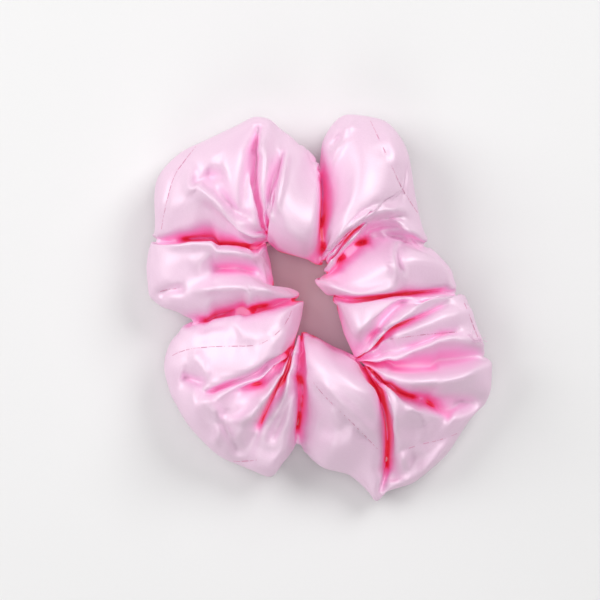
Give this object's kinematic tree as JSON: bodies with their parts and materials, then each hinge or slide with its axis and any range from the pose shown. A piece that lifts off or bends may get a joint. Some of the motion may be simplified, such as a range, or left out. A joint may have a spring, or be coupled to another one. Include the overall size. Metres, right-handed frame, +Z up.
{
  "type": "scrunchie",
  "caption": "Hair scrunchie: a gathered tube of pink satin over a sewn ring of elastic, lying flat, that pulls open and springs back.",
  "frame": {"origin": "under the middle of the whole scrunchie, on the table it lies on", "axes": "+Z up off the table, +Y along the longer side of the outline, +X to the right seen from above"},
  "size_m": [0.1146, 0.127, 0.038],
  "materials": {
    "satin": "satin",
    "sewing_thread": "matte",
    "elastic": "matte"
  },
  "bodies": {
    "still_side": {"cover_puff_07": "satin", "long_seam_07": "sewing_thread", "elastic_band": "elastic", "elastic_tack_thread": "sewing_thread"},
    "pulled_side": {"cover_puff_14": "satin", "long_seam_14": "sewing_thread", "closing_seam_thread": "sewing_thread"},
    "puff_01": {"cover_puff_01": "satin", "long_seam_01": "sewing_thread"},
    "puff_02": {"cover_puff_02": "satin", "long_seam_02": "sewing_thread"},
    "puff_03": {"cover_puff_03": "satin", "long_seam_03": "sewing_thread"},
    "puff_04": {"cover_puff_04": "satin", "long_seam_04": "sewing_thread"},
    "puff_05": {"cover_puff_05": "satin", "long_seam_05": "sewing_thread"},
    "puff_06": {"cover_puff_06": "satin", "long_seam_06": "sewing_thread"},
    "puff_08": {"cover_puff_08": "satin", "long_seam_08": "sewing_thread"},
    "puff_09": {"cover_puff_09": "satin", "long_seam_09": "sewing_thread"},
    "puff_10": {"cover_puff_10": "satin", "long_seam_10": "sewing_thread"},
    "puff_11": {"cover_puff_11": "satin", "long_seam_11": "sewing_thread"},
    "puff_12": {"cover_puff_12": "satin", "long_seam_12": "sewing_thread"},
    "puff_13": {"cover_puff_13": "satin", "long_seam_13": "sewing_thread"}
  },
  "joints": [
    {"name": "stretch", "type": "slide", "parent": "still_side", "child": "pulled_side", "axis": [1, 0, 0], "range_m": [0, 0.05], "stiffness_N_per_m": 120, "deforming": ["elastic_band"]},
    {"name": "spread_01", "type": "slide", "parent": "still_side", "child": "puff_01", "axis": [1, 0, 0], "range_m": [0, 0.0454]},
    {"name": "spread_02", "type": "slide", "parent": "still_side", "child": "puff_02", "axis": [1, 0, 0], "range_m": [0, 0.0428]},
    {"name": "spread_03", "type": "slide", "parent": "still_side", "child": "puff_03", "axis": [1, 0, 0], "range_m": [0, 0.041]},
    {"name": "spread_04", "type": "slide", "parent": "still_side", "child": "puff_04", "axis": [1, 0, 0], "range_m": [0, 0.0329]},
    {"name": "spread_05", "type": "slide", "parent": "still_side", "child": "puff_05", "axis": [1, 0, 0], "range_m": [0, 0.0205]},
    {"name": "spread_06", "type": "slide", "parent": "still_side", "child": "puff_06", "axis": [1, 0, 0], "range_m": [0, 0.0037]},
    {"name": "spread_08", "type": "slide", "parent": "still_side", "child": "puff_08", "axis": [1, 0, 0], "range_m": [0, 0.0015]},
    {"name": "spread_09", "type": "slide", "parent": "still_side", "child": "puff_09", "axis": [1, 0, 0], "range_m": [0, 0.0063]},
    {"name": "spread_10", "type": "slide", "parent": "still_side", "child": "puff_10", "axis": [1, 0, 0], "range_m": [0, 0.0232]},
    {"name": "spread_11", "type": "slide", "parent": "still_side", "child": "puff_11", "axis": [1, 0, 0], "range_m": [0, 0.036]},
    {"name": "spread_12", "type": "slide", "parent": "still_side", "child": "puff_12", "axis": [1, 0, 0], "range_m": [0, 0.044]},
    {"name": "spread_13", "type": "slide", "parent": "still_side", "child": "puff_13", "axis": [1, 0, 0], "range_m": [0, 0.0481]}
  ],
  "couplings": [
    {"joint": "spread_01", "follows": "stretch", "ratio": 0.904},
    {"joint": "spread_02", "follows": "stretch", "ratio": 0.851},
    {"joint": "spread_03", "follows": "stretch", "ratio": 0.817},
    {"joint": "spread_04", "follows": "stretch", "ratio": 0.654},
    {"joint": "spread_05", "follows": "stretch", "ratio": 0.405},
    {"joint": "spread_06", "follows": "stretch", "ratio": 0.07},
    {"joint": "spread_08", "follows": "stretch", "ratio": 0.026},
    {"joint": "spread_09", "follows": "stretch", "ratio": 0.123},
    {"joint": "spread_10", "follows": "stretch", "ratio": 0.46},
    {"joint": "spread_11", "follows": "stretch", "ratio": 0.716},
    {"joint": "spread_12", "follows": "stretch", "ratio": 0.877},
    {"joint": "spread_13", "follows": "stretch", "ratio": 0.957}
  ]
}
